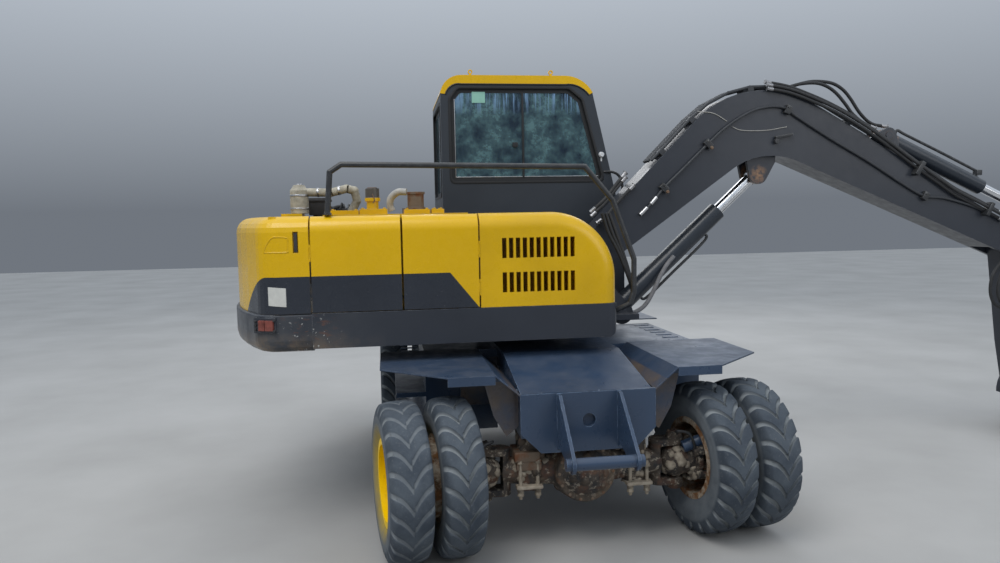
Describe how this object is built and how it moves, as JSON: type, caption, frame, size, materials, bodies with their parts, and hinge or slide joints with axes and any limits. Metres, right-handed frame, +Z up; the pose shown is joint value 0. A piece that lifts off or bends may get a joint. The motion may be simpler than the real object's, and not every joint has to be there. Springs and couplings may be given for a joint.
{
  "type": "wheeled excavator",
  "caption": "Wheeled excavator with twin tyres, its slewed upper body with open engine bay, cab and bent boom with arm and bucket.",
  "frame": {"origin": "on the ground under the slewing axis", "axes": "+X forward along the boom of the upper body, +Y to its left, +Z up; the undercarriage drives towards -Y"},
  "size_m": [6.8928, 3.4746, 2.9166],
  "materials": {
    "paint_blue": "satin paint, dusty",
    "axle_iron": "muddy iron",
    "rim_paint": "yellow paint, rust inside",
    "tyre": "worn rubber, grey with dust",
    "paint_dark": "dark grey satin paint",
    "paint_yellow": "yellow gloss paint",
    "engine_iron": "dusty iron",
    "rust": "rust",
    "steel_tube": "worn paint",
    "glass": "clear",
    "seat_cloth": "woven",
    "plastic": "matte",
    "chrome": "polished"
  },
  "bodies": {
    "chassis_body": {"chassis_frame": "paint_blue", "front_plate": "paint_blue", "front_fenders": "paint_blue", "rear_fenders": "paint_blue", "side_boxes": "paint_blue", "front_axle": "axle_iron", "rear_axle": "axle_iron"},
    "toolbox_flap_body": {"toolbox_lid": "paint_blue"},
    "knuckle_left_body": {"knuckle_left": "axle_iron"},
    "knuckle_right_body": {"knuckle_right": "axle_iron"},
    "tie_rod_body": {"tie_rod": "axle_iron"},
    "wheel_front_left_body": {"rims_front_left": "rim_paint", "tyres_front_left": "tyre"},
    "wheel_front_right_body": {"rims_front_right": "rim_paint", "tyres_front_right": "tyre"},
    "wheel_rear_left_body": {"rims_rear_left": "rim_paint", "tyres_rear_left": "tyre"},
    "wheel_rear_right_body": {"rims_rear_right": "rim_paint", "tyres_rear_right": "tyre"},
    "upper_body": {"slew_ring": "paint_dark", "deck_frame": "paint_dark", "counterweight": "paint_dark", "tail_cover": "paint_yellow", "hood_front": "paint_yellow", "hood_left": "paint_yellow", "tank": "paint_yellow", "engine": "engine_iron", "radiator": "engine_iron", "exhaust": "rust", "handrail": "steel_tube", "cab_shell": "paint_dark", "cab_glass": "glass", "seat": "seat_cloth", "console": "plastic"},
    "door_rear_body": {"door_rear": "paint_yellow"},
    "door_mid_body": {"door_mid": "paint_yellow"},
    "cab_door_body": {"cab_door": "paint_dark", "door_glass": "glass"},
    "boom_body": {"boom": "paint_dark", "boom_pipes": "steel_tube"},
    "arm_body": {"arm": "paint_dark"},
    "bucket_body": {"bucket": "paint_dark"},
    "rocker_body": {"rocker": "paint_dark"},
    "link_body": {"bucket_link": "paint_dark"},
    "boom_barrel_body": {"boom_barrel": "paint_dark"},
    "boom_rod_body": {"boom_rod": "chrome"},
    "arm_barrel_body": {"arm_barrel": "paint_dark"},
    "arm_rod_body": {"arm_rod": "chrome"},
    "bucket_barrel_body": {"bucket_barrel": "paint_dark"},
    "bucket_rod_body": {"bucket_rod": "chrome"}
  },
  "joints": [
    {"name": "slew", "type": "hinge", "parent": "chassis_body", "child": "upper_body", "pos_m": [0, 0, 1.1], "axis": [0, 0, 1], "continuous": true},
    {"name": "boom_lift", "type": "hinge", "parent": "upper_body", "child": "boom_body", "pos_m": [0.27, -0.08, 1.45], "axis": [0, -1, 0], "range_deg": [-35, 50]},
    {"name": "arm_swing", "type": "hinge", "parent": "boom_body", "child": "arm_body", "pos_m": [3.83, -0.08, 1.53], "axis": [0, -1, 0], "range_deg": [-50, 44]},
    {"name": "bucket_curl", "type": "hinge", "parent": "arm_body", "child": "bucket_body", "pos_m": [3.96484, -0.08, 0.24707], "axis": [0, -1, 0], "range_deg": [-149, 0]},
    {"name": "rocker_swing", "type": "hinge", "parent": "arm_body", "child": "rocker_body", "pos_m": [3.93427, -0.08, 0.58573], "axis": [0, -1, 0], "range_deg": [-102.02, 1]},
    {"name": "link_swing", "type": "hinge", "parent": "bucket_body", "child": "link_body", "pos_m": [4.06252, -0.08, 0.47719], "axis": [0, -1, 0], "range_deg": [-1, 141.37]},
    {"name": "boom_barrel_swing", "type": "hinge", "parent": "upper_body", "child": "boom_barrel_body", "pos_m": [0.6, -0.08, 1.14], "axis": [0, -1, 0], "range_deg": [-36.26, 51.37]},
    {"name": "boom_rod_slide", "type": "slide", "parent": "boom_barrel_body", "child": "boom_rod_body", "axis": [0.7396, 0, 0.6731], "range_m": [-0.2618, 0.3697]},
    {"name": "arm_barrel_swing", "type": "hinge", "parent": "boom_body", "child": "arm_barrel_body", "pos_m": [2.7, -0.08, 2.39], "axis": [0, -1, 0], "range_deg": [-2.92, 2.69]},
    {"name": "arm_rod_slide", "type": "slide", "parent": "arm_barrel_body", "child": "arm_rod_body", "axis": [0.9091, 0, -0.4167], "range_m": [-0.2236, 0.2527]},
    {"name": "bucket_barrel_swing", "type": "hinge", "parent": "arm_body", "child": "bucket_barrel_body", "pos_m": [4.07968, -0.08, 1.54619], "axis": [0, -1, 0], "range_deg": [-3.59, 1]},
    {"name": "bucket_rod_slide", "type": "slide", "parent": "bucket_barrel_body", "child": "bucket_rod_body", "axis": [0.0883, 0, -0.9961], "range_m": [-0.01, 0.5021]},
    {"name": "steer_left", "type": "hinge", "parent": "chassis_body", "child": "knuckle_left_body", "pos_m": [0.55, -1.376, 0.43], "axis": [0, 0, 1], "range_deg": [-36, 20]},
    {"name": "steer_right", "type": "hinge", "parent": "chassis_body", "child": "knuckle_right_body", "pos_m": [-0.55, -1.376, 0.43], "axis": [0, 0, 1], "range_deg": [-37, 21]},
    {"name": "tie_rod_slide", "type": "slide", "parent": "chassis_body", "child": "tie_rod_body", "axis": [1, 0, 0], "range_m": [-0.0804, 0.1368]},
    {"name": "wheel_front_left_spin", "type": "hinge", "parent": "knuckle_left_body", "child": "wheel_front_left_body", "pos_m": [0.86689, -1.33146, 0.43], "axis": [0.9903, 0.1392, 0], "continuous": true},
    {"name": "wheel_front_right_spin", "type": "hinge", "parent": "knuckle_right_body", "child": "wheel_front_right_body", "pos_m": [-0.86689, -1.42054, 0.43], "axis": [0.9903, 0.1392, 0], "continuous": true},
    {"name": "wheel_rear_left_spin", "type": "hinge", "parent": "chassis_body", "child": "wheel_rear_left_body", "pos_m": [0.87, 1.12, 0.43], "axis": [1, 0, 0], "continuous": true},
    {"name": "wheel_rear_right_spin", "type": "hinge", "parent": "chassis_body", "child": "wheel_rear_right_body", "pos_m": [-0.87, 1.12, 0.43], "axis": [1, 0, 0], "continuous": true},
    {"name": "door_rear_hinge", "type": "hinge", "parent": "upper_body", "child": "door_rear_body", "pos_m": [-1.473, -1.045, 1.5], "axis": [0, 0, -1], "range_deg": [0, 85]},
    {"name": "door_mid_hinge", "type": "hinge", "parent": "upper_body", "child": "door_mid_body", "pos_m": [-0.507, -1.045, 1.5], "axis": [0, 0, 1], "range_deg": [0, 85]},
    {"name": "cab_door_hinge", "type": "hinge", "parent": "upper_body", "child": "cab_door_body", "pos_m": [-0.06, 1.055, 1.4], "axis": [0, 0, 1], "range_deg": [0, 100]},
    {"name": "toolbox_flap_hinge", "type": "hinge", "parent": "chassis_body", "child": "toolbox_flap_body", "pos_m": [1.02, -0.13, 0.5], "axis": [0, 1, 0], "range_deg": [0, 90]}
  ],
  "couplings": [
    {"joint": "rocker_swing", "follows": "bucket_curl", "ratio": 0.67798},
    {"joint": "link_swing", "follows": "bucket_curl", "ratio": -0.9421},
    {"joint": "bucket_barrel_swing", "follows": "bucket_curl", "ratio": 0.01735},
    {"joint": "bucket_rod_slide", "follows": "bucket_curl", "m_per_rad": -0.18923},
    {"joint": "arm_barrel_swing", "follows": "arm_swing", "ratio": 0.0385},
    {"joint": "arm_rod_slide", "follows": "arm_swing", "m_per_rad": -0.27814},
    {"joint": "boom_barrel_swing", "follows": "boom_lift", "ratio": 1.0075},
    {"joint": "boom_rod_slide", "follows": "boom_lift", "m_per_rad": 0.41223},
    {"joint": "steer_right", "follows": "steer_left", "ratio": 1},
    {"joint": "tie_rod_slide", "follows": "steer_left", "m_per_rad": -0.20174}
  ]
}
